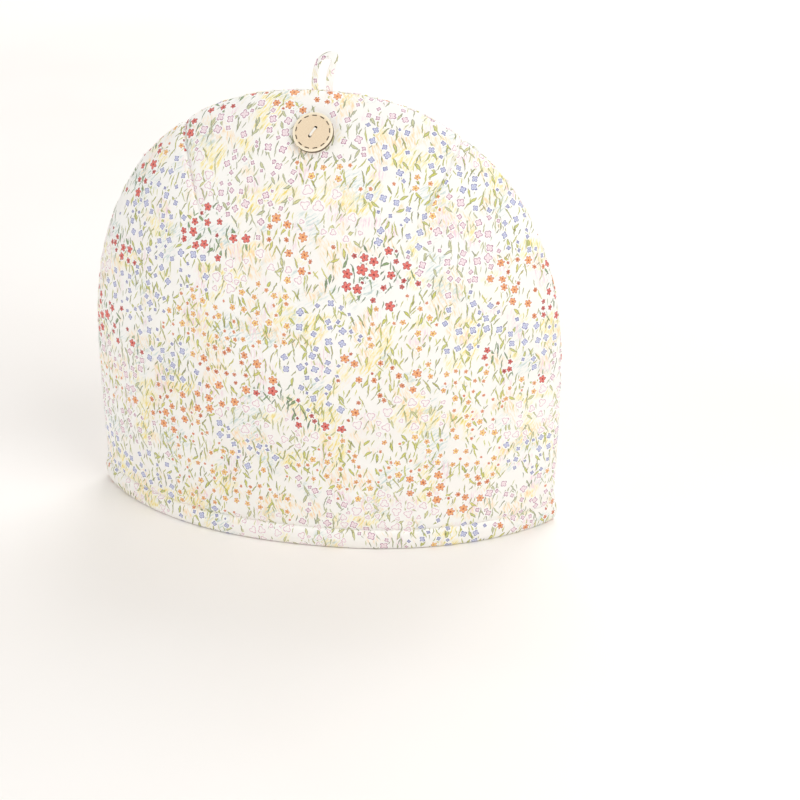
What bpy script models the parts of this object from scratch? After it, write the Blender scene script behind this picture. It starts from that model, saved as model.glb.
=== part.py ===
"""A padded tea cosy: two darted dome panels with a turned hem, a lining, a hanging loop and a wooden button.

Metres, +Z up. The cosy stands on its hem at Z = 0 with the front panel towards -Y, and its origin is
the middle of the opening on the surface that it stands on.
"""

import math

import bmesh
import bpy
import numpy as np
from mathutils import Matrix, Vector
from mathutils.bvhtree import BVHTree

# Outline of a panel, seen from the front
COSY_HEIGHT = 0.258
HEM_HALF_WIDTH = 0.138
BELLY_HALF_WIDTH = 0.1415
BELLY_HEIGHT = 0.095
DOME_POWER = 2.25
SHOULDER_ANGLE = math.radians(43)

# How far a panel stands out from the plane of its seam
HEM_HALF_DEPTH = 0.0630
BELLY_HALF_DEPTH = 0.0645
LENS_POWER = 0.80

# Layers
WALL_THICKNESS = 0.0050
LINING_THICKNESS = 0.0012
PIECE_GAP = 0.0003
SEAM_DIP = 0.0014
SEAM_DIP_REACH = 0.055

# The turned hem, as it is sewn: the rows of its rolled edge, from the surface that it stands on up.
# Each inset is measured inwards from the panel's outer surface.
HEM_ROWS = [
    dict(height=0.0000, outer_inset=0.0019, inner_inset=0.0046),
    dict(height=0.0008, outer_inset=0.0006, inner_inset=0.0058),
    dict(height=0.0026, outer_inset=-0.0003, inner_inset=0.0065),
    dict(height=0.0060, outer_inset=-0.0009, inner_inset=0.0068),
    dict(height=0.0096, outer_inset=-0.0003, inner_inset=0.0066),
    dict(height=0.0118, outer_inset=0.0013, inner_inset=0.0063),
    dict(height=0.0127, outer_inset=0.0012, inner_inset=WALL_THICKNESS),
    dict(height=0.0170, outer_inset=0.0001, inner_inset=WALL_THICKNESS),
]
HEM_FACING_HEIGHT = 0.0127

# Rows of the grid between the hem and the belly, then the number of rows above it
SIDE_ROW_HEIGHTS = [0.030, 0.050, 0.072, BELLY_HEIGHT]
DOME_ROWS = 12
COLUMNS = 26
EXTRA_ROW_SHARE = 0.30

# The two darts of a panel, each from the top seam to its tip
DART_SEAM_X = 0.082
DART_TIP_X = 0.062
DART_TIP_HEIGHT = 0.190
DART_DEPTH = 0.0019
DART_HALF_WIDTH = 0.0045

# Soft dents of the cloth, the same depth inside as outside
DENTS = {
    "front": [
        dict(x=-0.070, height=0.128, half_width=0.034, half_height=0.046, depth=0.0022),
        dict(x=0.048, height=0.078, half_width=0.040, half_height=0.030, depth=0.0020),
        dict(x=0.094, height=0.150, half_width=0.026, half_height=0.040, depth=0.0024),
        dict(x=-0.018, height=0.178, half_width=0.030, half_height=0.022, depth=0.0012),
    ],
    "back": [
        dict(x=0.066, height=0.120, half_width=0.036, half_height=0.044, depth=0.0024),
        dict(x=-0.052, height=0.084, half_width=0.038, half_height=0.034, depth=0.0018),
        dict(x=-0.090, height=0.158, half_width=0.028, half_height=0.036, depth=0.0022),
    ],
}

# Button, sewn to the front panel below the top seam
BUTTON_RADIUS = 0.0115
BUTTON_THICKNESS = 0.0030
BUTTON_ROUNDING = 0.0005
BUTTON_BELOW_TOP = 0.0200
BUTTON_HOLE_RADIUS = 0.0010
BUTTON_HOLE_SPACING = 0.0056
BUTTON_HOLE_ANGLE = math.radians(62)
BUTTON_DIMPLE = 0.0014
BUTTON_DIMPLE_RADIUS = 0.013

# Hanging loop, a strip whose two ends are sewn side by side into the top seam.
# Its flat side turns to the front by the tilts, the first at its left end and the second at its right one.
LOOP_HEIGHT = 0.0205
LOOP_TURN_RADIUS = 0.0043
LOOP_FOOT_HALF_SPACING = 0.0042
LOOP_STRIP_WIDTH = 0.0039
LOOP_STRIP_THICKNESS = 0.0015
LOOP_TILTS = (math.radians(64), math.radians(52))
LOOP_LEAN = 0.0052
LOOP_POINTS = 30

MATERIALS = {
    "printed_cotton": dict(color=(0.86, 0.83, 0.76), roughness=0.85),
    "lining_cotton": dict(color=(0.80, 0.68, 0.47), roughness=0.90),
    "button_wood": dict(color=(0.62, 0.42, 0.25), roughness=0.55),
}


def half_width(z, inset):
    """Half of the panel's width at a height below the belly."""
    below = max(0.0, BELLY_HEIGHT - z) / BELLY_HEIGHT
    return BELLY_HALF_WIDTH - (BELLY_HALF_WIDTH - HEM_HALF_WIDTH) * below**2 - inset


def half_depth(z, inset):
    below = max(0.0, BELLY_HEIGHT - z) / BELLY_HEIGHT
    return BELLY_HALF_DEPTH - (BELLY_HALF_DEPTH - HEM_HALF_DEPTH) * below**2 - inset


def dome_height(inset):
    return COSY_HEIGHT - BELLY_HEIGHT - inset


def fullness(x, z, inset):
    """1 in the middle of a panel's lower half, 0 on its seam."""
    across = abs(x) / half_width(z, inset)
    up = max(0.0, z - BELLY_HEIGHT) / dome_height(inset)
    return max(0.0, 1.0 - across**DOME_POWER - up**DOME_POWER)


def seam_point(angle, inset):
    """A point of the seam above the belly, on the right: 0 at the belly, a quarter turn at the top."""
    power = 2.0 / DOME_POWER
    x = half_width(BELLY_HEIGHT, inset) * max(0.0, math.cos(angle)) ** power
    z = BELLY_HEIGHT + dome_height(inset) * max(0.0, math.sin(angle)) ** power
    return x, z


def evenly_spaced_angles(start, end):
    """A function from 0..1 to seam angles that are evenly spaced along the seam."""
    angles = np.linspace(start, end, 400)
    points = np.array([seam_point(angle, 0.0) for angle in angles])
    steps = np.hypot(*np.diff(points, axis=0).T)
    along = np.concatenate([[0.0], np.cumsum(steps)])
    return lambda share: float(np.interp(share * along[-1], along, angles))


SIDE_ANGLE = evenly_spaced_angles(0.0, SHOULDER_ANGLE)
TOP_ANGLE = evenly_spaced_angles(math.pi / 2, SHOULDER_ANGLE)


def top_seam(share, inset):
    """A point of the top seam: -1 at the left shoulder, 1 at the right one."""
    x, z = seam_point(TOP_ANGLE(abs(share)), inset)
    return math.copysign(x, share), z


def dome_place(across, up, inset):
    """Front-view place in the dome above the belly: a patch blended from its four sides."""
    belly_x = half_width(BELLY_HEIGHT, inset)
    side_x, side_z = seam_point(SIDE_ANGLE(up), inset)
    top_x, top_z = top_seam(across, inset)
    shoulder_x, shoulder_z = seam_point(SHOULDER_ANGLE, inset)
    x = (1 - up) * across * belly_x + up * top_x
    x += across * side_x - across * ((1 - up) * belly_x + up * shoulder_x)
    z = (1 - up) * BELLY_HEIGHT + up * top_z
    z += side_z - ((1 - up) * BELLY_HEIGHT + up * shoulder_z)
    return x, z


def dart_seam_height():
    share = 1.0 - (DART_SEAM_X / BELLY_HALF_WIDTH) ** DOME_POWER
    return BELLY_HEIGHT + dome_height(0.0) * share ** (1.0 / DOME_POWER)


def dart_grid_place():
    """Where a dart starts and ends on the dome's grid, as (across at the seam, across and up at the tip)."""
    shares = np.linspace(0.0, 1.0, 241)
    seam_share = float(np.interp(DART_SEAM_X, [top_seam(share, 0.0)[0] for share in shares], shares))
    best = (9.0, 0.0, 0.0)
    for across in np.linspace(0.3, 0.8, 101):
        for up in np.linspace(0.3, 1.0, 141):
            x, z = dome_place(across, up, 0.0)
            miss = math.hypot(x - DART_TIP_X, z - DART_TIP_HEIGHT)
            best = min(best, (miss, float(across), float(up)))
    return seam_share, best[1], best[2]


DART_SEAM_SHARE, DART_TIP_SHARE, DART_TIP_UP = dart_grid_place()


def dart_column(up):
    """The dart's own grid column, which follows the dart and eases back below its tip."""
    if up >= DART_TIP_UP:
        share = (up - DART_TIP_UP) / (1.0 - DART_TIP_UP)
        return DART_TIP_SHARE + (DART_SEAM_SHARE - DART_TIP_SHARE) * share
    ease = up / DART_TIP_UP
    ease = ease * ease * (3.0 - 2.0 * ease)
    return DART_SEAM_SHARE + (DART_TIP_SHARE - DART_SEAM_SHARE) * ease


def bent_column(across, up):
    """Moves the columns on either side of a dart along with it."""
    share = abs(across)
    nearness = min(share / DART_SEAM_SHARE, (1.0 - share) / (1.0 - DART_SEAM_SHARE))
    return math.copysign(share + (dart_column(up) - DART_SEAM_SHARE) * nearness, across)


def column_shares():
    """The grid's columns, with one close to each side seam, one on each dart and one on either side of it."""
    step = 2.0 / COLUMNS
    beside = DART_HALF_WIDTH / BELLY_HALF_WIDTH
    near = [DART_SEAM_SHARE + offset * beside for offset in (-1.0, 0.0, 1.0)]
    near += [-share for share in near]
    even = np.linspace(-1.0, 1.0, COLUMNS + 1)
    even = [share for share in even if min(abs(share - other) for other in near) > beside]
    close = 1.0 - EXTRA_ROW_SHARE * step
    return sorted(even + near + [close, -close])


def dome_row_shares():
    """The dome's rows, with one close to the top seam."""
    even = [row / DOME_ROWS for row in range(1, DOME_ROWS + 1)]
    return sorted(even + [1.0 - EXTRA_ROW_SHARE / DOME_ROWS])


def dart_dip(x, z):
    """Depth of the groove along a dart, running out at its tip."""
    start = np.array([DART_SEAM_X, dart_seam_height()])
    end = np.array([DART_TIP_X, DART_TIP_HEIGHT])
    line = end - start
    place = np.array([abs(x), z]) - start
    along = float(place @ line / (line @ line))
    if along > 1.0:
        return 0.0
    off = abs(float(place[0] * line[1] - place[1] * line[0])) / float(np.hypot(*line))
    return DART_DEPTH * math.sqrt(1.0 - max(0.0, along)) * max(0.0, 1.0 - off / DART_HALF_WIDTH)


def dent_depth(panel, x, z):
    depth = 0.0
    for dent in DENTS[panel]:
        across = (x - dent["x"]) / dent["half_width"]
        up = (z - dent["height"]) / dent["half_height"]
        depth += dent["depth"] * math.exp(-across * across - up * up)
    return depth


def button_height():
    return COSY_HEIGHT - BUTTON_BELOW_TOP


def outer_dip(panel, x, z):
    """How far sewing pulls the outer surface in: at the seam, along the darts and under the button."""
    dip = SEAM_DIP * math.exp(-((fullness(x, z, 0.0) / SEAM_DIP_REACH) ** 2))
    dip += dart_dip(x, z)
    if panel == "front":
        off = math.hypot(x, z - button_height()) / BUTTON_DIMPLE_RADIUS
        dip += BUTTON_DIMPLE * math.exp(-off * off)
    return dip


def surface_y(panel, x, z, inset):
    """Y of a layer of a panel at a front-view place. The inset is its depth under the outer cloth."""
    out = PIECE_GAP / 2 + half_depth(z, inset) * fullness(x, z, inset) ** LENS_POWER
    out -= dent_depth(panel, x, z) * min(1.0, 3.0 * fullness(x, z, inset)) * min(1.0, z / 0.03)
    return -out if panel == "front" else out


def layer_point(panel, across, row, layer):
    """A grid point of a panel's outer or inner layer. Both are the same dome at their own insets."""
    inset = row[layer + "_inset"]
    if "height" in row:
        z = row["height"]
        x = across * half_width(z, inset)
    else:
        x, z = dome_place(bent_column(across, row["up"]), row["up"], inset)
    y = surface_y(panel, x, z, inset)
    if layer == "outer" and row["sewn"]:
        place = Vector((x, y, z)) - surface_normal(panel, x, z, inset) * outer_dip(panel, x, z)
        place.y = math.copysign(max(abs(place.y), PIECE_GAP / 2), y)
        return place
    return Vector((x, y, z))


def surface_normal(panel, x, z, inset):
    """Outward direction of a layer at a front-view place."""
    step = 0.0008
    reach = 0.985
    x = x * reach
    z = BELLY_HEIGHT + (z - BELLY_HEIGHT) * reach if z > BELLY_HEIGHT else z
    slope_x = (surface_y(panel, x + step, z, inset) - surface_y(panel, x - step, z, inset)) / (2 * step)
    slope_z = (surface_y(panel, x, z + step, inset) - surface_y(panel, x, z - step, inset)) / (2 * step)
    side = -1.0 if panel == "front" else 1.0
    return (Vector((-slope_x, 1.0, -slope_z)) * side).normalized()


def panel_rows():
    rows = [dict(row, sewn=row["height"] > HEM_FACING_HEIGHT) for row in HEM_ROWS]
    for height in SIDE_ROW_HEIGHTS:
        rows.append(dict(height=height, outer_inset=0.0, inner_inset=WALL_THICKNESS, sewn=True))
    for up in dome_row_shares():
        rows.append(dict(up=up, outer_inset=0.0, inner_inset=WALL_THICKNESS, sewn=True))
    return rows


def lining_rows():
    """The panel's rows above the hem's facing, one layer further in."""
    outer = WALL_THICKNESS + PIECE_GAP
    layers = dict(outer_inset=outer, inner_inset=outer + LINING_THICKNESS, sewn=False)
    heights = [HEM_FACING_HEIGHT + PIECE_GAP]
    heights += [row["height"] for row in HEM_ROWS if row["height"] > HEM_FACING_HEIGHT]
    heights += SIDE_ROW_HEIGHTS
    rows = [dict(layers, height=height) for height in heights]
    return rows + [dict(layers, up=up) for up in dome_row_shares()]


def material(name):
    made = bpy.data.materials.get(name) or bpy.data.materials.new(name)
    made.use_nodes = True
    surface = made.node_tree.nodes["Principled BSDF"]
    surface.inputs["Base Color"].default_value = (*MATERIALS[name]["color"], 1.0)
    surface.inputs["Roughness"].default_value = MATERIALS[name]["roughness"]
    surface.inputs["Metallic"].default_value = 0.0
    return made


def add_mesh(name, bm, collection, material_name):
    bmesh.ops.recalc_face_normals(bm, faces=bm.faces)
    if bm.calc_volume(signed=True) < 0.0:
        bmesh.ops.reverse_faces(bm, faces=bm.faces)
    mesh = bpy.data.meshes.new(name)
    bm.to_mesh(mesh)
    bm.free()
    mesh.shade_smooth()
    mesh.set_sharp_from_angle(angle=math.radians(50))
    obj = bpy.data.objects.new(name, mesh)
    obj.data.materials.append(material(material_name))
    collection.objects.link(obj)
    return obj


def add_shell(name, panel, rows, collection, material_name):
    """One layer of the cosy: a grid bent onto its outer surface and extruded to its inner one."""
    columns = column_shares()
    bm = bmesh.new()
    bmesh.ops.create_grid(bm, x_segments=len(columns) - 1, y_segments=len(rows) - 1, size=0.5)
    layers = dict(outer=bm.verts[:])
    made = bmesh.ops.extrude_face_region(bm, geom=bm.faces[:])
    layers["inner"] = [item for item in made["geom"] if isinstance(item, bmesh.types.BMVert)]
    for layer, verts in layers.items():
        for vert in verts:
            column = round((vert.co.x + 0.5) * (len(columns) - 1))
            row = round((vert.co.y + 0.5) * (len(rows) - 1))
            vert.co = layer_point(panel, columns[column], rows[row], layer)
    return add_mesh(name, bm, collection, material_name)


def loop_place(distance):
    """A point of the loop's middle line: up one leg, round the turn and down the other."""
    leg = LOOP_HEIGHT - LOOP_STRIP_THICKNESS / 2 - LOOP_TURN_RADIUS
    length = 2 * leg + math.pi * LOOP_TURN_RADIUS
    side = -1.0 if distance < length / 2 else 1.0
    walked = min(distance, length - distance)
    if walked < leg:
        spread = LOOP_FOOT_HALF_SPACING + (LOOP_TURN_RADIUS - LOOP_FOOT_HALF_SPACING) * walked / leg
        x, z = side * spread, walked
    else:
        angle = (walked - leg) / LOOP_TURN_RADIUS
        x = side * LOOP_TURN_RADIUS * math.cos(angle)
        z = leg + LOOP_TURN_RADIUS * math.sin(angle)
    return x, z, length


def add_loop(panel_objects, collection):
    """A flat tape with soft edges that stands on the top seam and leans over to the right."""
    curve = bpy.data.curves.new("hanging_loop_path", "CURVE")
    curve.dimensions = "3D"
    curve.twist_mode = "Z_UP"
    curve.extrude = LOOP_STRIP_WIDTH / 2 - LOOP_STRIP_THICKNESS / 2
    curve.bevel_depth = LOOP_STRIP_THICKNESS / 2
    curve.bevel_resolution = 1
    curve.use_fill_caps = True
    spline = curve.splines.new("POLY")
    spline.points.add(LOOP_POINTS)
    length = loop_place(0.0)[2]
    for index, point in enumerate(spline.points):
        share = index / LOOP_POINTS
        x, z, _ = loop_place(length * share)
        point.co = (x, z, 0.0, 1.0)
        point.tilt = LOOP_TILTS[0] + (LOOP_TILTS[1] - LOOP_TILTS[0]) * share
    guide = bpy.data.objects.new("hanging_loop_guide", curve)
    collection.objects.link(guide)
    bpy.context.view_layer.update()
    mesh = bpy.data.meshes.new_from_object(guide.evaluated_get(bpy.context.evaluated_depsgraph_get()))
    bpy.data.objects.remove(guide)
    bm = bmesh.new()
    bm.from_mesh(mesh)
    bpy.data.meshes.remove(mesh)
    bmesh.ops.remove_doubles(bm, verts=bm.verts, dist=0.00001)
    bm.transform(Matrix.Rotation(math.pi / 2, 4, "X"))
    lowest = min(vert.co.z for vert in bm.verts)
    seam_top = max(vert.co.z for panel_object in panel_objects for vert in panel_object.data.vertices)
    for vert in bm.verts:
        vert.co.x += LOOP_LEAN * (max(0.0, vert.co.z) / LOOP_HEIGHT) ** 2.6
        vert.co.z += seam_top + PIECE_GAP - lowest
    return add_mesh("hanging_loop", bm, collection, "printed_cotton")


def button_place(panel_object):
    """Flat on the cloth of the front panel, a gap clear of the highest point under the button."""
    z = button_height()
    outward = surface_normal("front", 0.0, z, 0.0)
    turn = outward.to_track_quat("Z", "Y").to_matrix()
    middle = Vector((0.0, surface_y("front", 0.0, z, 0.0), z))
    bm = bmesh.new()
    bm.from_mesh(panel_object.data)
    cloth = BVHTree.FromBMesh(bm)
    bm.free()
    start = middle + outward * BUTTON_RADIUS
    heights = []
    for radius in np.linspace(0.0, BUTTON_RADIUS, 6):
        for angle in np.linspace(0.0, 2 * math.pi, 24, endpoint=False):
            across = turn @ Vector((radius * math.cos(angle), radius * math.sin(angle), 0.0))
            heights.append(BUTTON_RADIUS - cloth.ray_cast(start + across, -outward)[3])
    lift = max(heights) + PIECE_GAP + BUTTON_THICKNESS / 2
    return Matrix.Translation(middle + outward * lift) @ turn.to_4x4()


def add_button(panel_object, collection, cutters):
    place = button_place(panel_object)
    bm = bmesh.new()
    bmesh.ops.create_cone(
        bm, cap_ends=True, segments=40, radius1=BUTTON_RADIUS, radius2=BUTTON_RADIUS, depth=BUTTON_THICKNESS
    )
    button = add_mesh("button", bm, collection, "button_wood")
    button.matrix_world = place
    rounding = button.modifiers.new("rounding", "BEVEL")
    rounding.width = BUTTON_ROUNDING
    rounding.segments = 2
    rounding.limit_method = "ANGLE"
    rounding.angle_limit = math.radians(40)
    for index, side in enumerate((-1.0, 1.0)):
        bm = bmesh.new()
        bmesh.ops.create_cone(
            bm,
            cap_ends=True,
            segments=14,
            radius1=BUTTON_HOLE_RADIUS,
            radius2=BUTTON_HOLE_RADIUS,
            depth=BUTTON_THICKNESS * 2,
        )
        cutter = add_mesh(f"button_hole_cutter_{index}", bm, cutters, "button_wood")
        off = Vector((math.cos(BUTTON_HOLE_ANGLE), math.sin(BUTTON_HOLE_ANGLE), 0.0))
        cutter.matrix_world = place @ Matrix.Translation(off * side * BUTTON_HOLE_SPACING / 2)
        cutter.hide_render = True
        cutter.display_type = "WIRE"
        hole = button.modifiers.new(f"hole_{index}", "BOOLEAN")
        hole.operation = "DIFFERENCE"
        hole.solver = "EXACT"
        hole.object = cutter
    return button


def new_collection(name):
    collection = bpy.data.collections.new(name)
    bpy.context.scene.collection.children.link(collection)
    return collection


def main():
    for obj in list(bpy.data.objects):
        bpy.data.objects.remove(obj)
    cosy = new_collection("tea_cosy")
    cutters = new_collection("cutters")
    panels = {}
    for panel in ("front", "back"):
        panels[panel] = add_shell(f"{panel}_panel", panel, panel_rows(), cosy, "printed_cotton")
        add_shell(f"{panel}_lining", panel, lining_rows(), cosy, "lining_cotton")
    add_loop(panels.values(), cosy)
    add_button(panels["front"], cosy, cutters)


main()
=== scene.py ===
# A padded tea cosy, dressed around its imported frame: metres, +Z up, standing on its hem, front towards -Y.
import math

import bmesh
import bpy
import numpy as np
from mathutils import Matrix, Vector


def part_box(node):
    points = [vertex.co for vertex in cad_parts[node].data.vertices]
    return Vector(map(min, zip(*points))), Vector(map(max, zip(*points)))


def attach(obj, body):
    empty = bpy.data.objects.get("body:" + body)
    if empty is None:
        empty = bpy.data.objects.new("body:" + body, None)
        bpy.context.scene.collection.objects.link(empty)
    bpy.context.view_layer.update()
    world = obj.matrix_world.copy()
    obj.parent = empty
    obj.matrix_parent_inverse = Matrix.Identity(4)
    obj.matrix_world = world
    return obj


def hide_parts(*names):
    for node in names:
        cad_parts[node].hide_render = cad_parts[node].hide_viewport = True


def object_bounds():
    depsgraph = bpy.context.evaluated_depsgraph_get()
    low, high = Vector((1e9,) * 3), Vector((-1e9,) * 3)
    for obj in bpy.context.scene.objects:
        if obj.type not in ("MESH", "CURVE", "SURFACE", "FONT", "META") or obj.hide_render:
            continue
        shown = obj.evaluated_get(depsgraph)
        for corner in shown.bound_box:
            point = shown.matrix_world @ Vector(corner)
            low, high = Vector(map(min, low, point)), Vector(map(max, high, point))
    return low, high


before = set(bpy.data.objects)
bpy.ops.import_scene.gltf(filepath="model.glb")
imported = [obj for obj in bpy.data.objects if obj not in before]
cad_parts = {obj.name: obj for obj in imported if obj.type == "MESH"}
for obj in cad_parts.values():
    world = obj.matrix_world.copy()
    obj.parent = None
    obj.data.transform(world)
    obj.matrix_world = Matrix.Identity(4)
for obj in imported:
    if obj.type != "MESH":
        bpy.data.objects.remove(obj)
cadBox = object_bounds()
bpy.ops.object.select_all(action="DESELECT")
print("frame loaded:", ", ".join(sorted(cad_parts)))


cosyForm = {  # the same form as its solids
    "height": 0.258,
    "hemHalfWidth": 0.138,
    "bellyHalfWidth": 0.1415,
    "bellyHeight": 0.095,
    "domePower": 2.25,
    "shoulderAngle": math.radians(43),
    "hemHalfDepth": 0.0630,
    "bellyHalfDepth": 0.0645,
    "lensPower": 0.80,
    "wall": 0.0050,  # printed cloth and wadding
    "gap": 0.0003,  # between neighbouring pieces
    "seamDip": 0.0014,
    "seamDipReach": 0.055,
    "dartSeamX": 0.082,
    "dartTipX": 0.062,
    "dartTipHeight": 0.190,
    "facingHeight": 0.0127,  # where the turned hem meets the lining inside
}


def halfSize(way, z, inset):
    # half the cosy's width or depth at a height; it draws in a little below the belly
    hem, belly = cosyForm["hemHalf" + way], cosyForm["bellyHalf" + way]
    below = np.maximum(0.0, cosyForm["bellyHeight"] - z) / cosyForm["bellyHeight"]
    return belly - (belly - hem) * below**2 - inset


def domeHeight(inset):
    return cosyForm["height"] - cosyForm["bellyHeight"] - inset


def fullness(x, z, inset):
    # 1 in the middle of a panel's lower half, 0 on its seam
    across = np.abs(x) / halfSize("Width", z, inset)
    up = np.maximum(0.0, z - cosyForm["bellyHeight"]) / domeHeight(inset)
    return np.maximum(0.0, 1.0 - across ** cosyForm["domePower"] - up ** cosyForm["domePower"])


def seamPoint(angle, inset):
    power = 2.0 / cosyForm["domePower"]
    x = halfSize("Width", cosyForm["bellyHeight"], inset) * np.maximum(0.0, np.cos(angle)) ** power
    z = cosyForm["bellyHeight"] + domeHeight(inset) * np.maximum(0.0, np.sin(angle)) ** power
    return x, z


def walkedAlong(*axes):
    # how far along a line each of its points is
    return np.concatenate([[0.0], np.cumsum(np.sqrt(sum(np.diff(axis) ** 2 for axis in axes)))])


def seamAngle(share, start):
    # evenly spaced places along the seam, from start to the shoulder
    angles = np.linspace(start, cosyForm["shoulderAngle"], 800)
    along = walkedAlong(*seamPoint(angles, 0.0))
    return np.interp(share * along[-1], along, angles)


def domePlace(across, up, inset):
    # front-view place in the dome above the belly: a patch blended from its four sides
    belly = cosyForm["bellyHeight"]
    bellyX = halfSize("Width", belly, inset)
    sideX, sideZ = seamPoint(seamAngle(up, 0.0), inset)
    topX, topZ = seamPoint(seamAngle(np.abs(across), math.pi / 2), inset)
    shoulderX, shoulderZ = seamPoint(cosyForm["shoulderAngle"], inset)
    x = (1 - up) * across * bellyX + up * topX * np.sign(across)
    x = x + across * (sideX - (1 - up) * bellyX - up * shoulderX)
    z = up * topZ + sideZ - up * shoulderZ
    return x, z


def dartEnds():
    # a dart's two ends in the front view, on the right: on the top seam and at its tip
    share = 1.0 - (cosyForm["dartSeamX"] / cosyForm["bellyHalfWidth"]) ** cosyForm["domePower"]
    seamZ = cosyForm["bellyHeight"] + domeHeight(0.0) * share ** (1.0 / cosyForm["domePower"])
    return (cosyForm["dartSeamX"], seamZ), (cosyForm["dartTipX"], cosyForm["dartTipHeight"])


def dartGridPlace():
    # where a dart starts and ends on the dome's grid
    shares = np.linspace(0.0, 1.0, 481)
    seamX, _ = seamPoint(seamAngle(shares, math.pi / 2), 0.0)
    seamShare = float(np.interp(cosyForm["dartSeamX"], seamX, shares))
    across, up = np.meshgrid(np.linspace(0.3, 0.8, 201), np.linspace(0.3, 1.0, 281))
    x, z = domePlace(across, up, 0.0)
    miss = np.hypot(x - cosyForm["dartTipX"], z - cosyForm["dartTipHeight"])
    best = np.unravel_index(np.argmin(miss), miss.shape)
    return seamShare, float(across[best]), float(up[best])


dartSeamShare, dartTipShare, dartTipUp = dartGridPlace()


def bentColumn(across, up):
    # the columns beside a dart follow it, and ease back below its tip
    share = np.abs(across)
    ease = np.clip(up / dartTipUp, 0.0, 1.0)
    ease = ease * ease * (3.0 - 2.0 * ease)
    low = dartSeamShare + (dartTipShare - dartSeamShare) * ease
    climb = (up - dartTipUp) / (1.0 - dartTipUp)
    high = dartTipShare + (dartSeamShare - dartTipShare) * climb
    column = np.where(up >= dartTipUp, high, low)
    nearness = np.minimum(share / dartSeamShare, (1.0 - share) / (1.0 - dartSeamShare))
    return np.sign(across) * (share + (column - dartSeamShare) * nearness)


clothDents = {  # soft dents in a panel and its lining alike; wide and tall are half sizes
    "front": [
        dict(x=-0.070, height=0.128, wide=0.034, tall=0.046, depth=0.0022),
        dict(x=0.048, height=0.078, wide=0.040, tall=0.030, depth=0.0020),
        dict(x=0.094, height=0.150, wide=0.026, tall=0.040, depth=0.0024),
        dict(x=-0.018, height=0.178, wide=0.030, tall=0.022, depth=0.0012),
    ],
    "back": [
        dict(x=0.066, height=0.120, wide=0.036, tall=0.044, depth=0.0024),
        dict(x=-0.052, height=0.084, wide=0.038, tall=0.034, depth=0.0018),
        dict(x=-0.090, height=0.158, wide=0.028, tall=0.036, depth=0.0022),
    ],
}

hemRoll = [  # the turned hem as sewn: its height, and the insets of its outer and its inner side
    (0.0000, 0.0024, 0.0040),
    (0.0003, 0.0012, 0.0051),
    (0.0010, 0.0003, 0.0059),
    (0.0026, -0.0004, 0.0065),
    (0.0060, -0.0009, 0.0068),
    (0.0092, -0.0005, 0.0067),
    (0.0112, 0.0003, 0.0065),
    (0.0120, 0.0014, 0.0062),
    (0.0124, 0.0016, 0.0057),
    (0.0130, 0.0011, 0.0050),
    (0.0145, 0.0004, 0.0050),
    (0.0175, 0.0001, 0.0050),
    (0.0220, 0.0000, 0.0050),
]

clothDetail = {
    "columns": 150,
    "sideRows": 26,
    "domeRows": 64,
    "stepsInRoll": 4,
    "besideSeams": (0.0005, 0.0011, 0.0018),  # close columns or rows on each side of a seam
    "besideGap": 0.0006,  # from the last of them to the even ones, at least
    "dartDepth": 0.0019,
    "dartHalfWidth": 0.0045,
    "dartFold": 0.0009,  # the sharp line of its stitching
    "dartFoldReach": 0.0006,
    "dartSharpness": 0.45,  # how much of its depth is near that line
    "seamCrease": 0.0011,  # the sharp line of stitching at the bottom of the seam's soft dip
    "seamCreaseReach": 0.0016,
    "seamWalk": (0.06, 0.16, 0.9),  # middle's height, radius, and how far apart the two sides are
    "seamPuckers": dict(depth=0.00034, length=0.0105, lean=0.15, reach=0.012),
    "dartPuckers": dict(depth=0.000272, length=0.008, lean=0.2, reach=0.007),
    "puckerStart": 0.0012,  # how far from the stitches a pucker is at its full height
    "hemPucker": 0.00026,
    "hemPuckerLength": 0.0095,
    "hemPuckerAbove": 0.0085,
    "hemPuckerUnder": 0.0050,
    "hemLine": 0.0124,  # the height of the hem's stitching
    "hemFade": (0.0010, 0.0040),  # where the hem's puckers begin, and the height they take to grow
    "dipFade": (0.0135, 0.0040),  # the same for all other dips, which end above the rolled hem
    "dentFade": (0.0, 0.0300),  # the same for the dents
    "waver": 0.00035,
    "waverLength": 0.034,
    "waverStart": 0.020,
    "buttonDimple": 0.0014,
    "buttonDimpleRadius": 0.013,
    "buttonBelowTop": 0.0200,
}

seeds = {
    "front": dict(seam=3, dart=13, waver=23, hem=5, slack=31, lining=36),
    "back": dict(seam=4, dart=14, waver=24, hem=6, slack=32, lining=37),
}


def bell(value, reach):
    return np.exp(-((value / reach) ** 2))


def fadeIn(value, start, length):
    return np.clip((value - start) / length, 0.0, 1.0)


def waves(places, length, seed, count=9):
    # a gentle repeatable unevenness of about that wavelength, mostly between -1 and 1
    chooser = np.random.default_rng(seed)
    total = 0.0
    for _ in range(count):
        turn = chooser.uniform(0, 2 * math.pi)
        pitch = 2 * math.pi / (length * chooser.uniform(0.75, 1.5))
        phase = chooser.uniform(0, 2 * math.pi)
        total = total + np.sin((places[0] * math.cos(turn) + places[1] * math.sin(turn)) * pitch + phase)
    return total / math.sqrt(count) / 1.6


def dentDepth(panel, x, z):
    depth = 0.0
    for dent in clothDents[panel]:
        across = bell(x - dent["x"], dent["wide"])
        depth = depth + dent["depth"] * across * bell(z - dent["height"], dent["tall"])
    return depth


def surfaceY(panel, x, z, inset):
    full = fullness(x, z, inset)
    out = cosyForm["gap"] / 2 + halfSize("Depth", z, inset) * full ** cosyForm["lensPower"]
    out = out - dentDepth(panel, x, z) * np.minimum(1.0, 3.0 * full) * fadeIn(z, *clothDetail["dentFade"])
    return -out if panel == "front" else out


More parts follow.
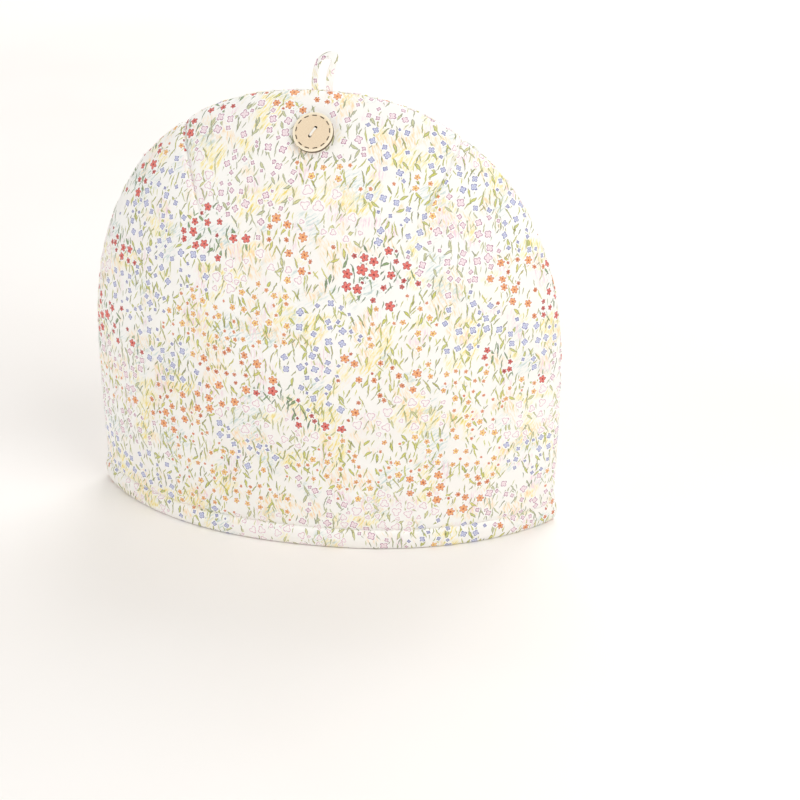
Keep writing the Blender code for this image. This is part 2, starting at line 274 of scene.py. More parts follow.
def spline(rows, count):
    # a smooth run through rows of values, with a few steps between each two
    padded = np.array([rows[0], *rows, rows[-1]])
    t = np.linspace(0, 1, count, endpoint=False)[:, None]
    run = []
    for a, b, c, d in zip(padded, padded[1:], padded[2:], padded[3:]):
        run.append(b + 0.5 * t * (c - a + t * (2 * a - 5 * b + 4 * c - d + t * (3 * (b - c) + d - a))))
    return np.concatenate([*run, padded[-1:]])


def sharesAlong(count, place, seams):
    # shares from 0 to 1, evenly spaced along the line that place gives and closer beside its seams
    shares = np.linspace(0, 1, 4000)
    along = walkedAlong(*place(shares))
    even = np.linspace(0, along[-1], count)
    seams = np.interp(seams, shares, along)
    apart, gap = clothDetail["besideSeams"], clothDetail["besideGap"]
    beside = np.array([seam + side * away for seam in seams for away in (0.0, *apart) for side in (-1, 1)])
    even = even[[np.abs(seams - value).min() > apart[-1] + gap for value in even]]
    every = np.unique(np.concatenate([even, beside[(beside >= 0) & (beside <= along[-1])]]).round(7))
    return np.interp(every, along, shares)


def columnShares(count):
    belly = cosyForm["bellyHeight"]
    width = halfSize("Width", belly, 0.0)

    def roundBelly(share):
        return share * width, surfaceY("back", share * width, belly, 0.0)

    half = sharesAlong(count // 2 + 1, roundBelly, [dartSeamShare, 1.0])
    half[np.argmin(np.abs(half - dartSeamShare))] = dartSeamShare
    return np.concatenate([-half[:0:-1], half])


def domeShares(count):
    def upMiddle(up):
        x, z = domePlace(0.0 * up, up, 0.0)
        return z, surfaceY("back", x, z, 0.0)

    return sharesAlong(count + 1, upMiddle, [1.0])[1:]


def layerGrid(panel, shares, heights, ups, inset):
    # a layer's points: rows up from the hem, columns from left to right; the dome keeps the last inset
    across, up = np.meshgrid(shares, ups)
    domeX, domeZ = domePlace(bentColumn(across, up), up, inset[-1])
    wide = np.ones(len(shares))
    x = np.concatenate([np.outer(halfSize("Width", heights, inset), shares), domeX])
    z = np.concatenate([np.outer(heights, wide), domeZ])
    inset = np.concatenate([np.outer(inset, wide), 0.0 * domeX + inset[-1]])
    return np.stack([x, surfaceY(panel, x, z, inset), z], axis=2)


def gridNormals(grid, panel):
    across = np.gradient(grid, axis=1)
    up = np.gradient(grid, axis=0)
    normals = np.cross(across, up) if panel == "front" else np.cross(up, across)
    return normals / np.maximum(1e-12, np.linalg.norm(normals, axis=2, keepdims=True))


def seamDistance(grid):
    # how far each point of the grid is from the nearer side or top seam, along the cloth
    across = np.cumsum(np.linalg.norm(np.diff(grid, axis=1), axis=2), axis=1)
    fromLeft = np.pad(across, ((0, 0), (1, 0)))
    up = np.cumsum(np.linalg.norm(np.diff(grid, axis=0), axis=2), axis=0)
    fromHem = np.pad(up, ((1, 0), (0, 0)))
    return np.minimum(np.minimum(fromLeft, fromLeft[:, -1:] - fromLeft), fromHem[-1:] - fromHem)


def seamWalk(x, z):
    # about how far along the seam a place lies, from its angle about the belly; the left side is far off
    middleHeight, radius, apart = clothDetail["seamWalk"]
    angle = np.arctan2(z - middleHeight, np.abs(x) + 0.001)
    return angle * radius + np.where(x < 0, apart, 0.0)


def dartGroove(x, z):
    # (how deep the groove is, from 0 to 1; how far along the dart a place is; how far beside it)
    (startX, startZ), (endX, endZ) = dartEnds()
    lineX, lineZ = endX - startX, endZ - startZ
    length = math.hypot(lineX, lineZ)
    awayX, awayZ = np.abs(x) - startX, z - startZ
    along = (awayX * lineX + awayZ * lineZ) / length**2
    off = np.abs(awayX * lineZ - awayZ * lineX) / length
    return np.sqrt(np.clip(1.0 - np.maximum(0.0, along), 0.0, 1.0)), along * length, off


def puckers(form, along, away, seed):
    # ripples along a line of stitches that die away beside it
    ripple = waves((along, form["lean"] * away), form["length"], seed)
    beside = np.exp(-away / form["reach"]) * fadeIn(away, 0.0, clothDetail["puckerStart"])
    return form["depth"] * ripple * beside


def outerDip(panel, grid):
    # how far sewing pulls the outer cloth in, and how it puckers beside the stitches
    x, z = grid[:, :, 0], grid[:, :, 2]
    detail, seed = clothDetail, seeds[panel]
    away = seamDistance(grid)
    dip = cosyForm["seamDip"] * bell(fullness(x, z, 0.0), cosyForm["seamDipReach"])
    dip = dip + detail["seamCrease"] * bell(away, detail["seamCreaseReach"])
    dip = dip + puckers(detail["seamPuckers"], seamWalk(x, z), away, seed["seam"])
    depth, along, off = dartGroove(x, z)
    sharp, groove = detail["dartSharpness"], np.clip(1.0 - off / detail["dartHalfWidth"], 0.0, 1.0)
    dip = dip + detail["dartDepth"] * depth * ((1.0 - sharp) * groove + sharp * groove**4)
    dip = dip + detail["dartFold"] * np.minimum(1.0, 2.0 * depth) * bell(off, detail["dartFoldReach"])
    dip = dip + puckers(detail["dartPuckers"], along, off, seed["dart"]) * depth
    if panel == "front":
        fromButton = np.hypot(x, z - (cosyForm["height"] - detail["buttonBelowTop"]))
        dip = dip + detail["buttonDimple"] * bell(fromButton, detail["buttonDimpleRadius"])
    uneven = waves((x * 1.3, z), detail["waverLength"], seed["waver"])
    dip = dip + detail["waver"] * uneven * fadeIn(away, 0.0, detail["waverStart"])
    return dip * fadeIn(z, *detail["dipFade"])


def hemDip(panel, grid):
    # small upright puckers where the hem's stitching draws the cloth in
    detail = clothDetail
    x, y, z = np.moveaxis(grid, 2, 0)
    up = z - detail["hemLine"]
    ripple = waves((x, y * 0.9), detail["hemPuckerLength"], seeds[panel]["hem"])
    above = bell(up, detail["hemPuckerAbove"]) * (up > 0)
    under = bell(up, detail["hemPuckerUnder"]) * (up <= 0) * fadeIn(z, *detail["hemFade"])
    return detail["hemPucker"] * ripple * (above + under)


class Wire:
    # a shader socket that adds, multiplies and so on as a number does
    def __init__(self, socket):
        self.socket = socket
        self.tree = socket.id_data

    def __add__(self, other):
        return calc("ADD", self, other)

    def __sub__(self, other):
        return calc("SUBTRACT", self, other)

    def __mul__(self, other):
        return calc("MULTIPLY", self, other)

    def __truediv__(self, other):
        return calc("DIVIDE", self, other)

    def __rsub__(self, other):
        return calc("SUBTRACT", other, self)

    def __abs__(self):
        return calc("ABSOLUTE", self)

    def __lt__(self, other):
        return calc("LESS_THAN", self, other)

    def __gt__(self, other):
        return calc("GREATER_THAN", self, other)

    __radd__ = __add__
    __rmul__ = __mul__


def wear(shader, values):
    # sets the sockets of a node, or links them
    for key, value in values.items():
        if isinstance(value, Wire):
            value.tree.links.new(value.socket, shader.inputs[key])
        else:
            shader.inputs[key].default_value = value


def node(tree, kind, settings=None, inputs=None):
    made = tree.nodes.new(kind)
    for name, value in (settings or {}).items():
        setattr(made, name, value)
    wear(made, inputs or {})
    return made


def treeOf(values):
    return next(value.tree for value in values if isinstance(value, Wire))


def calc(operation, *values, clamp=False):
    settings = {"operation": operation, "use_clamp": clamp}
    return Wire(node(treeOf(values), "ShaderNodeMath", settings, dict(enumerate(values))).outputs[0])


def between(value, low, high):
    # 0 below low, 1 above high
    return calc("MULTIPLY_ADD", value, 1.0 / (high - low), -low / (high - low), clamp=True)


def vector(operation, *values, output="Vector"):
    made = node(treeOf(values), "ShaderNodeVectorMath", {"operation": operation}, dict(enumerate(values)))
    return Wire(made.outputs[output])


def lengthOf(place):
    return vector("LENGTH", place, output="Value")


def mix(factor, under, over):
    inputs = {0: factor, 6: under, 7: over}
    return Wire(node(treeOf(inputs.values()), "ShaderNodeMix", {"data_type": "RGBA"}, inputs).outputs[2])


def parts(value):
    return [Wire(output) for output in node(value.tree, "ShaderNodeSeparateXYZ", None, {0: value}).outputs]


def tint(red, green, blue):
    # a screen colour as the shader's linear one
    def linear(level):
        level = level / 255
        return level / 12.92 if level <= 0.04045 else ((level + 0.055) / 1.055) ** 2.4

    return (linear(red), linear(green), linear(blue), 1.0)


def noise(place, scale, detail=2.0, roughness=0.5, output="Factor", dimensions="2D"):
    inputs = {"Vector": place, "Scale": scale, "Detail": detail, "Roughness": roughness}
    made = node(place.tree, "ShaderNodeTexNoise", {"noise_dimensions": dimensions}, inputs)
    return Wire(made.outputs[0 if output == "Factor" else 1])


def solidNoise(place, scale):
    return noise(place, scale, dimensions="3D")


def turned(place, angle):
    inputs = {"Vector": place, "Angle": angle}
    return Wire(node(place.tree, "ShaderNodeVectorRotate", {"rotation_type": "Z_AXIS"}, inputs).outputs[0])


def ramp(value, stops):
    made = node(value.tree, "ShaderNodeValToRGB", None, {0: value})
    made.color_ramp.interpolation = "CONSTANT"
    elements = made.color_ramp.elements
    while len(elements) < len(stops):
        elements.new(1.0)
    for element, (place, colour) in zip(elements, stops):
        element.position = place
        element.color = colour
    return Wire(made.outputs[0])


def finish(look):
    # a material that is named for its look, and wears the values that the look gives
    made = bpy.data.materials.new(look.__name__)
    made.use_nodes = True
    wear(made.node_tree.nodes["Principled BSDF"], look(made.node_tree))
    return made


def bump(height, distance, strength):
    inputs = {"Height": height, "Distance": distance, "Strength": strength}
    return Wire(node(height.tree, "ShaderNodeBump", None, inputs).outputs[0])


def mapPlace(tree, name):
    return Wire(node(tree, "ShaderNodeUVMap", {"uv_map": name}).outputs[0])


# the print is this part's own: loose blossoms, ring flowers and blades of grass in drifts, in millimetres
meadow = {
    "ground": (253, 252, 249),
    "shade": (250, 247, 242),
    "drift": 33.0,
    "sketchiness": 0.55,
    "scatter": 0.7,  # how unevenly the blossoms stand, from 0 to 1
    "bladeScatter": 0.8,
    "pitchOfWeave": 0.52,
}

hazes = [  # washes of colour under the blades, brushed in streaks
    dict(size=24, shift=0, start=0.57, light=(253, 238, 130), dark=(240, 212, 62), turn=0.5),
    dict(size=22, shift=140, start=0.57, light=(254, 232, 196), dark=(250, 210, 150), turn=-0.4),
    dict(size=26, shift=320, start=0.585, light=(226, 236, 234), dark=(190, 210, 208), turn=0.9),
    dict(size=20, shift=510, start=0.61, light=(250, 232, 238), dark=(240, 206, 220), turn=0.0),
]

tufts = [  # blades of grass in cells: lean and spread, length and width, the share that grows, how pale
    dict(cell=(3.4, 6.4), shift=(11, 3), turn=(0.25, 1.1), size=(5.0, 0.95), bend=0.8, share=0.5, pale=1.3),
    dict(cell=(5.2, 12.0), shift=(2, 7), turn=(-0.3, 0.9), size=(10.0, 1.35), bend=2.0, share=0.5, pale=0.8),
    dict(cell=(4.8, 9.6), shift=(31, 19), turn=(0.35, 0.9), size=(8.2, 1.2), bend=-1.6, share=0.48, pale=0.7),
    dict(cell=(7.0, 7.4), shift=(53, 41), turn=(0.0, 2.2), size=(6.2, 2.3), bend=0.8, share=0.42, pale=0.35),
]

blossoms = {  # their cells, their size, the share that grows, and how much room a large one takes
    "large": dict(cell=(8.0, 8.0), shift=(71, 63), size=1.08, share=0.60, reach=3.3),
    "small": dict(cell=(5.9, 5.9), shift=(17, 29), size=0.70, share=0.42),
}

drifts = [  # what grows in each: its share of the cloth, and how open its blossoms are, from 0 to 1
    dict(share=0.14, petals=5, radius=2.8, open=0.0),  # poppies
    dict(share=0.13, petals=6, radius=2.4, open=0.0),  # marigolds
    dict(share=0.17, petals=4, radius=2.2, open=0.7),  # pink campion
    dict(share=0.14, petals=4, radius=1.9, open=0.4),  # speedwell
    dict(share=0.20, petals=3, radius=2.6, open=1.0),  # pale rings
    dict(share=0.22, petals=5, radius=1.7, open=0.0),  # grass
]

inks = [  # the colours of each drift: a petal and its edge, a blade of grass and its outline
    dict(petal=(230, 108, 96), edge=(154, 34, 40), blade=(134, 162, 110), outline=(40, 70, 50)),
    dict(petal=(244, 172, 110), edge=(186, 82, 42), blade=(214, 210, 112), outline=(108, 106, 42)),
    dict(petal=(240, 194, 212), edge=(156, 68, 122), blade=(200, 202, 158), outline=(88, 100, 74)),
    dict(petal=(180, 188, 232), edge=(62, 70, 152), blade=(202, 204, 114), outline=(80, 90, 44)),
    dict(petal=(250, 232, 232), edge=(216, 168, 188), blade=(212, 210, 152), outline=(112, 118, 68)),
    dict(petal=(252, 222, 130), edge=(212, 124, 82), blade=(206, 206, 100), outline=(84, 94, 38)),
]


def byDrift(kind, values):
    # the value that belongs to a place's drift
    starts = np.cumsum([0.0] + [drift["share"] for drift in drifts[:-1]])
    return ramp(kind, [(float(start), value) for start, value in zip(starts, values)])


def ink(kind, name):
    return byDrift(kind, [tint(*colours[name]) for colours in inks])


def scattered(place, sizes, feature, randomness):
    settings = {"voronoi_dimensions": "2D", "feature": feature}
    inputs = {"Vector": vector("DIVIDE", place, (*sizes, 1.0)), "Scale": 1.0, "Randomness": randomness}
    return node(place.tree, "ShaderNodeTexVoronoi", settings, inputs)


def cellPlace(place, layer, randomness):
    # scattered cells: (place from the cell's middle, the middle itself, its own random numbers)
    moved = vector("ADD", place, (*layer["shift"], 0.0))
    cells = scattered(moved, layer["cell"], "F1", randomness)
    middle = vector("MULTIPLY", Wire(cells.outputs["Position"]), (*layer["cell"], 1.0))
    away = vector("SUBTRACT", moved, middle)
    middle = vector("SUBTRACT", middle, (*layer["shift"], 0.0))
    return away, middle, parts(Wire(cells.outputs["Color"]))


def cellEdge(place, layer, randomness):
    # how far a place is from the border of its cell
    moved = vector("ADD", place, (*layer["shift"], 0.0))
    cells = scattered(moved, layer["cell"], "DISTANCE_TO_EDGE", randomness)
    return Wire(cells.outputs["Distance"]) * layer["cell"][0]


def driftKind(place):
    # which drift a place is in, as a number from 0 to 1
    wander = vector("MULTIPLY", noise(place, 1 / 22, output="Color"), (26.0, 26.0, 0.0))
    sizes = (meadow["drift"] * 1.25, meadow["drift"] * 0.8)
    cells = scattered(vector("ADD", place, wander), sizes, "F1", 1.0)
    return parts(Wire(cells.outputs["Color"]))[0]


def paintBlossoms(base, place, layer, bigger=None):
    scatter = meadow["scatter"]
    away, middle, (chance, other, third) = cellPlace(place, layer, scatter)
    kind = driftKind(middle)
    # a ramp holds values up to 1, so petals are counted in tens and a radius in fives
    forms = [(drift["petals"] / 10, drift["radius"] / 5, drift["open"], 1) for drift in drifts]
    petals, radius, openness = parts(byDrift(kind, forms))
    petals, radius = petals * 10, radius * 5 * layer["size"]
    # a blossom keeps clear of its neighbours, and a small one of the large ones too
    radius = calc("MINIMUM", radius * (0.8 + 0.35 * other), cellEdge(middle, layer, scatter) - 0.1)
    if bigger:
        gap, _, (chanceBeside, _, _) = cellPlace(middle, bigger, scatter)
        # an empty large cell leaves room for any small blossom
        taken = (chanceBeside < bigger["share"]) * 9 + bigger["reach"] - 9
        radius = calc("MINIMUM", radius, lengthOf(gap) - taken)
    x, y, _ = parts(away)
    length = lengthOf(away)
    angle = calc("ARCTAN2", y, x) + third * 2 * math.pi
    lobe = abs(calc("COSINE", angle * petals * 0.5))
    depth = radius * (0.56 + 0.44 * lobe) - length  # how far inside its outline a place is
    rim = between(depth, 0.30, 0.62)
    heart = between(0.62 - length, -0.1, 0.15)
    edge = ink(kind, "edge")
    fill = mix(heart * (1 - openness), mix(rim, edge, ink(kind, "petal")), edge)
    grows = (chance < layer["share"]) * (radius > 0.8)
    cleared = mix(between(radius + 0.7 - length, 0.0, 0.4) * grows, base, tint(*meadow["ground"]))
    cover = between(depth, -0.08, 0.14) * (1 - rim * openness * 0.8) * grows
    return mix(cover, cleared, fill)


def paintBlades(base, place, tuft):
    away, middle, (chance, other, third) = cellPlace(place, tuft, meadow["bladeScatter"])
    kind = driftKind(middle)
    (lean, spread), (length, width) = tuft["turn"], tuft["size"]
    x, y, _ = parts(turned(away, (other - 0.5) * spread + lean))
    along = y / (length * 0.5)
    square = along * along
    off = abs(x - (third - 0.5) * tuft["bend"] * square)
    depth = (width * 0.5) * (1 - square) * (0.7 + 0.3 * along) - off
    blade = ink(kind, "blade")
    outline = mix(calc("MULTIPLY", third, tuft["pale"], clamp=True), ink(kind, "outline"), blade)
    colour = mix(between(depth, 0.22, 0.42), outline, blade)
    return mix(between(depth, -0.05, 0.16) * (chance < tuft["share"]), base, colour)


def paintHaze(base, place, haze):
    moved = vector("ADD", place, (haze["shift"], haze["shift"] * 0.7, 0.0))
    cloud = noise(moved, 1 / haze["size"], 1.5)
    brush = noise(vector("DIVIDE", turned(moved, haze["turn"]), (0.95, 5.5, 1.0)), 1.0)
    cover = between(cloud, haze["start"], haze["start"] + 0.1) * between(brush, 0.40, 0.66)
    colour = mix(between(brush, 0.5, 0.7), tint(*haze["light"]), tint(*haze["dark"]))
    return mix(cover * 0.85, base, colour)


def weave(place):
    # plain weave as a height between 0 and 1
    turns = math.pi / meadow["pitchOfWeave"]
    x, y, _ = parts(vector("MULTIPLY", place, (turns, turns, 0.0)))
    return calc("SINE", x) * calc("SINE", y) * 0.5 + 0.5


def printedCotton(tree):
    flat = mapPlace(tree, "print")
    wander = vector("SUBTRACT", noise(flat, 0.42, output="Color"), (0.5, 0.5, 0.5))
    reach = meadow["sketchiness"] * 2
    place = vector("ADD", flat, vector("MULTIPLY", wander, (reach, reach, 0.0)))
    cloth = mix(between(noise(flat, 1 / 60), 0.3, 0.7), tint(*meadow["ground"]), tint(*meadow["shade"]))
    for haze in hazes:
        cloth = paintHaze(cloth, place, haze)
    for tuft in tufts:
        cloth = paintBlades(cloth, place, tuft)
    cloth = paintBlossoms(cloth, place, blossoms["small"], blossoms["large"])
    cloth = paintBlossoms(cloth, place, blossoms["large"])
    # the ink has soaked in unevenly
    soak = between(noise(flat, 0.9, 3.0), 0.35, 0.75)
    cloth = mix(soak * 0.16, cloth, tint(255, 253, 248))
    height = weave(flat) * 0.5 + noise(flat, 2.2) * 0.5 + noise(flat, 0.35)
    relief = bump(height, 0.00006, 0.6)
    return {"Base Color": cloth, "Roughness": 0.86, "Normal": relief, "Sheen Weight": 0.12}


def objectPlace(tree):
    # millimetres in the row's own frame
    place = Wire(node(tree, "ShaderNodeTexCoord").outputs["Object"])
    return vector("MULTIPLY", place, (1000.0, 1000.0, 1000.0))


plainColours = {  # a pair is the two tones between which a finish varies
    "lining": [(251, 233, 200), (248, 225, 188)],
    "slub": (238, 210, 168),
    "thread": [(252, 250, 244), (238, 232, 222)],
    "wood": [(246, 228, 200), (233, 208, 174)],
    "fleck": (196, 158, 120),
    "rim": (253, 243, 218),
    "burnt": [(74, 58, 44), (128, 108, 84)],
}


def tones(value, low, high, pair):
    return mix(between(value, low, high), tint(*pair[0]), tint(*pair[1]))


def liningCotton(tree):
    place = objectPlace(tree)
    x, y, z = parts(place)
    cloth = tones(solidNoise(place, 0.03), 0.35, 0.65, plainColours["lining"])
    slub = between(solidNoise(vector("MULTIPLY", place, (0.25, 0.25, 2.4)), 1.0), 0.55, 0.8)
    cloth = mix(slub * 0.25, cloth, tint(*plainColours["slub"]))
    turns = math.pi / 0.55
    threads = calc("SINE", (x + y * 0.35) * turns) * calc("SINE", z * turns)
    relief = bump(threads * 0.25 + solidNoise(place, 1.6) * 0.6, 0.00008, 0.6)
    return {"Base Color": cloth, "Roughness": 0.9, "Normal": relief, "Sheen Weight": 0.1}


def cottonThread(tree):
    fuzz = solidNoise(objectPlace(tree), 3.0)
    colour = tones(fuzz, 0.35, 0.7, plainColours["thread"])
    relief = bump(fuzz, 0.00005, 0.5)
    return {"Base Color": colour, "Roughness": 0.75, "Normal": relief, "Sheen Weight": 0.1}


buttonLook = {
    "dashes": 13,
    "dashRadius": 0.0096,
    "dashLength": 0.0026,
    "dashWidth": 0.00062,
    "dashDepth": 0.0004,
    "dashTurn": 0.3,  # where the first one stands, as a share of the space between two
    "holeRadius": 0.0010,
    "holeSpacing": 0.0056,
    "holeAngle": math.radians(62),
    "rounding": 0.0004,
    "segments": 96,
    "holeSegments": 28,
    "paleRim": (9.9, 10.5),  # where it begins and is full, in millimetres from the middle
}


def buttonWood(tree):
    place = mapPlace(tree, "grain")
    grain = noise(vector("MULTIPLY", place, (0.9, 6.5, 0.0)), 1.0, 3.0, 0.6)
    fleck = between(noise(vector("MULTIPLY", place, (2.2, 16.0, 0.0)), 1.0), 0.60, 0.78)
    colour = tones(grain, 0.3, 0.72, plainColours["wood"])
    colour = mix(fleck * 0.4, colour, tint(*plainColours["fleck"]))
    rim = between(lengthOf(place), *buttonLook["paleRim"])
    colour = mix(rim * 0.75, colour, tint(*plainColours["rim"]))
    relief = bump(grain + fleck * -0.5, 0.00012, 0.5)
    return {"Base Color": colour, "Roughness": 0.55, "Normal": relief}


def burntWood(tree):
    place = mapPlace(tree, "grain")
    char = noise(vector("MULTIPLY", place, (5.0, 1.2, 0.0)), 1.0, 3.0, 0.6)
    colour = tones(char, 0.3, 0.75, plainColours["burnt"])
    return {"Base Color": colour, "Roughness": 0.7, "Normal": bump(char, 0.0002, 0.5)}


def placed(name, data):
    obj = bpy.data.objects.new(name, data)
    bpy.context.scene.collection.objects.link(obj)
    return obj


def meshObject(name, points, faces, material):
    mesh = bpy.data.meshes.new(name)
    mesh.from_pydata([tuple(point) for point in points], [], faces)
    mesh.validate()
    mesh.materials.append(material)
    mesh.shade_smooth()
    return placed(name, mesh)


def readAll(items, name, width, kind=np.float32):
    values = np.empty(len(items) * width, kind)
    items.foreach_get(name, values)
    return values.reshape(-1, width)


def cornerPoints(mesh):
    # the point number at each corner of each face
    return readAll(mesh.loops, "vertex_index", 1, np.int32)[:, 0]


def setMap(mesh, name, places):
    layer = mesh.uv_layers.get(name) or mesh.uv_layers.new(name=name)
    layer.data.foreach_set("uv", places.astype(np.float32).ravel())


def quads(*corners):
    # faces between four equal grids of point numbers, one for each corner
    return np.stack(corners, axis=-1).reshape(-1, 4).tolist()


def shell(outer, inner, panel):
    # a closed layer between two grids, with its faces listed as outer, hem edge, inner, sides
    rows, columns = outer.shape[:2]
    points = np.concatenate([outer.reshape(-1, 3), inner.reshape(-1, 3)])
    near, far = np.arange(2 * rows * columns).reshape(2, rows, columns)
    outerFaces = quads(near[:-1, :-1], near[:-1, 1:], near[1:, 1:], near[1:, :-1])
    hemFaces = quads(far[0, :-1], far[0, 1:], near[0, 1:], near[0, :-1])
    faces = outerFaces + hemFaces
    faces += quads(far[:-1, :-1], far[1:, :-1], far[1:, 1:], far[:-1, 1:])
    faces += quads(near[-1, :-1], near[-1, 1:], far[-1, 1:], far[-1, :-1])
    faces += quads(far[:-1, 0], near[:-1, 0], near[1:, 0], far[1:, 0])
    faces += quads(near[:-1, -1], far[:-1, -1], far[1:, -1], near[1:, -1])
    if panel == "back":
        faces = [face[::-1] for face in faces]
    return points, faces, len(outerFaces) + len(hemFaces)


def select(obj):
    bpy.ops.object.select_all(action="DESELECT")
    obj.select_set(True)
    bpy.context.view_layer.objects.active = obj


bakeSquare = {  # where the cloth's own map puts the printed side, and small above it the hidden side
    "margin": 0.0075,
    "hiddenScale": 0.33,
    "hiddenPlace": (0.0535, 0.902),
    "uprightStrip": 0.004,  # half the width of the strip in the middle that stands upright in the map
    "uprightFrom": 0.03,  # its ends lie below this height and above the next
    "uprightTo": 0.2,
}


def quadArea(corners):
    # the area of four-cornered faces in all, from their diagonals
    crossed = np.cross(corners[:, 2] - corners[:, 0], corners[:, 3] - corners[:, 1])
    return 0.5 * np.linalg.norm(crossed, axis=1).sum()


def flatten(obj, printedFaces, seams):
    # lays the printed faces out flat, cut open along the seams
    mesh = obj.data
    select(obj)
    for edge in mesh.edges:
        edge.use_seam = tuple(sorted(edge.vertices)) in seams
    for polygon in mesh.polygons:
        polygon.select = polygon.index < printedFaces
    mesh.uv_layers.new(name="print")
    bpy.ops.object.mode_set(mode="EDIT")
    bpy.ops.mesh.select_mode(type="FACE")
    bpy.ops.uv.unwrap(method="CONFORMAL", fill_holes=False, margin=0.0)
    bpy.ops.object.mode_set(mode="OBJECT")


def unfold(obj, printedFaces, seams, printOffset):
    # the cloth's two maps: one in millimetres for the print, and one that fits a square
    flatten(obj, printedFaces, seams)
    mesh = obj.data
    flat = readAll(mesh.uv_layers["print"].data, "uv", 2).astype(float)
    places = readAll(mesh.vertices, "co", 3)[cornerPoints(mesh)]
    # to real size, and upright
    count = 4 * printedFaces
    clothArea = quadArea(places[:count].reshape(-1, 4, 3))
    flatArea = quadArea(np.pad(flat[:count], ((0, 0), (0, 1))).reshape(-1, 4, 3))
    flat = (flat - flat[:count].mean(axis=0)) * math.sqrt(clothArea / flatArea)
    middle = (np.arange(len(flat)) < count) & (np.abs(places[:, 0]) < bakeSquare["uprightStrip"])
    top = flat[middle & (places[:, 2] > bakeSquare["uprightTo"])].mean(axis=0)
    up = top - flat[middle & (places[:, 2] < bakeSquare["uprightFrom"])].mean(axis=0)
    up = up / np.linalg.norm(up)
    flat = np.stack([flat @ np.array([up[1], -up[0]]), flat @ up], axis=1)
    least = flat[:count].min(axis=0)
    size = flat[:count].max(axis=0) - least
    square = (flat - least) / size.max() * (1 - 2 * bakeSquare["margin"]) + bakeSquare["margin"]
    square[count:] = places[count:, ::2] * bakeSquare["hiddenScale"] + np.array(bakeSquare["hiddenPlace"])
    setMap(mesh, "print", (flat - least) * 1000 + np.array(printOffset))
    setMap(mesh, "OFBake", square)
    return size, clothArea


def clothSeams(rows, columns, facingRow, darts, dartRow):
    # the edges where the cloth is cut open to lie flat, as pairs of point numbers
    near, far = np.arange(2 * rows * columns).reshape(2, rows, columns)
    lines = [layer[:, column] for layer in (near, far) for column in (0, -1)]
    lines += [near[-1], far[facingRow]] + [near[dartRow:, column] for column in darts]
    return {pair for line in lines for pair in zip(line[:-1].tolist(), line[1:].tolist())}


def makePanel(panel, printOffset, material):
    detail, wall = clothDetail, cosyForm["wall"]
    shares, ups = columnShares(detail["columns"]), domeShares(detail["domeRows"])
    rolled = spline(hemRoll, detail["stepsInRoll"])
    side = np.linspace(rolled[-1, 0], cosyForm["bellyHeight"], detail["sideRows"] + 1)[1:]
    straight = np.stack([side, 0.0 * side, 0.0 * side + wall], axis=1)
    heights, outerInset, innerInset = np.concatenate([rolled, straight]).T
    outer = layerGrid(panel, shares, heights, ups, outerInset)
    inner = layerGrid(panel, shares, heights, ups, innerInset)
    normals = gridNormals(outer, panel)
    outer = outer - normals * (outerDip(panel, outer) + hemDip(panel, outer))[:, :, None]
    sign = -1.0 if panel == "front" else 1.0
    outer[:, :, 1] = sign * np.maximum(sign * outer[:, :, 1], cosyForm["gap"] / 2)
    points, faces, outsideFaces = shell(outer, inner, panel)
    obj = meshObject(panel + "Cover", points, faces, material)
    # the facing inside the hem belongs to the printed cloth too, and its faces come straight after the hem's
    facingRow = int(np.sum(heights < cosyForm["facingHeight"])) - 1
    printedFaces = outsideFaces + facingRow * (len(shares) - 1)
    darts = np.flatnonzero(np.abs(np.abs(shares) - dartSeamShare) < 1e-9)
    dartRow = len(heights) + int(np.argmax(ups >= dartTipUp))
    seams = clothSeams(len(heights) + len(ups), len(shares), facingRow, darts, dartRow)
    size, area = unfold(obj, printedFaces, seams, printOffset)
    print(f"{obj.name}: {size[0]:.3f} by {size[1]:.3f} m laid flat, {area:.4f} square metres")
    return obj, outer, normals


liningDetail = {
    "columns": 96,
    "sideRows": 18,
    "domeRows": 44,
    "edge": (0, 0.0006, 0.0016, 0.0034, 0.006),  # rows close together above the facing
    "firstRows": (0.024, 0.030),
    "thickness": 0.0012,
    "slack": 0.0016,
    "slackLength": 0.030,
    "slackStart": 0.020,
    "taut": 0.004,  # how far from its seams and its lower edge it is still taut
    "pucker": 0.0008,
    "puckerLength": 0.012,
    "puckerReach": 0.016,
}


def makeLining(panel, material):
    # the plain cloth inside, from the hem's facing up; its inner side is a little slacker than the outer
    detail = liningDetail
    shares, ups = columnShares(detail["columns"]), domeShares(detail["domeRows"])
    start = cosyForm["facingHeight"] + cosyForm["gap"]
    side = np.linspace(detail["firstRows"][-1], cosyForm["bellyHeight"], detail["sideRows"])[1:]
    heights = np.concatenate([np.array(detail["edge"]) + start, detail["firstRows"], side])
    inset = 0.0 * heights + cosyForm["wall"] + cosyForm["gap"]
    outer = layerGrid(panel, shares, heights, ups, inset)
    inner = layerGrid(panel, shares, heights, ups, inset + detail["thickness"])
    away = seamDistance(inner)
    x, z = inner[:, :, 0], inner[:, :, 2]
    seed = seeds[panel]
    slack = 0.5 + 0.5 * waves((x, z * 0.6), detail["slackLength"], seed["slack"])
    ripple = 0.5 + 0.5 * waves((seamWalk(x, z), 0.1 * away), detail["puckerLength"], seed["lining"])
    slack = detail["slack"] * slack * fadeIn(away, 0.0, detail["slackStart"])
    slack = slack + detail["pucker"] * ripple * np.exp(-away / detail["puckerReach"])
    slack = slack * fadeIn(away, 0.0, detail["taut"]) * fadeIn(z, start, detail["taut"])
    inner = inner - gridNormals(inner, panel) * slack[:, :, None]
    points, faces, _ = shell(outer, inner, panel)
    return meshObject(panel + "LiningCloth", points, faces, material)


